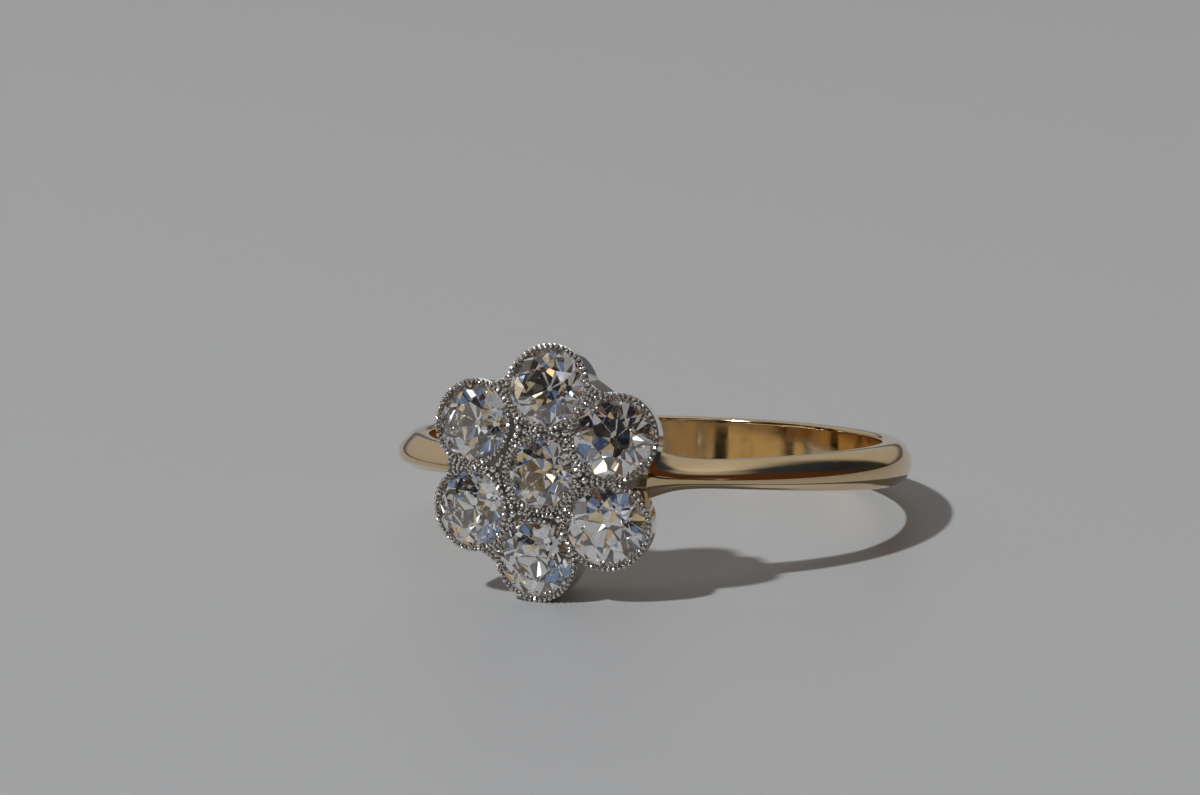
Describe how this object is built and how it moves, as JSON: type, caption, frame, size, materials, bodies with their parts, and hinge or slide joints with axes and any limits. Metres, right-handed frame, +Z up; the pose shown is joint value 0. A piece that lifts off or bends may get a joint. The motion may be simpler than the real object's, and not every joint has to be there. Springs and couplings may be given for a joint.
{
  "type": "cluster ring",
  "caption": "Finger ring lying on its side: a plain gold band whose shoulders carry a flower-shaped head of round cut stones in beaded white metal rims.",
  "frame": {"origin": "on the surface that the ring lies on, under the middle of its box", "axes": "+Z up, +X to the right and +Y from the head towards the back of the band; the finger passes up and slightly back, along the bore mount's axis"},
  "size_m": [0.0196, 0.0216, 0.0091],
  "materials": {
    "gold": "polished pale yellow gold with light wear",
    "white_metal": "polished platinum with beaded edges",
    "diamond": "clear, polished facets"
  },
  "bodies": {
    "root": {"shank": "gold", "setting": "white_metal", "stone_middle": "diamond", "stone_top": "diamond", "stone_upper_left": "diamond", "stone_lower_left": "diamond", "stone_bottom": "diamond", "stone_lower_right": "diamond", "stone_upper_right": "diamond"}
  },
  "joints": []
}
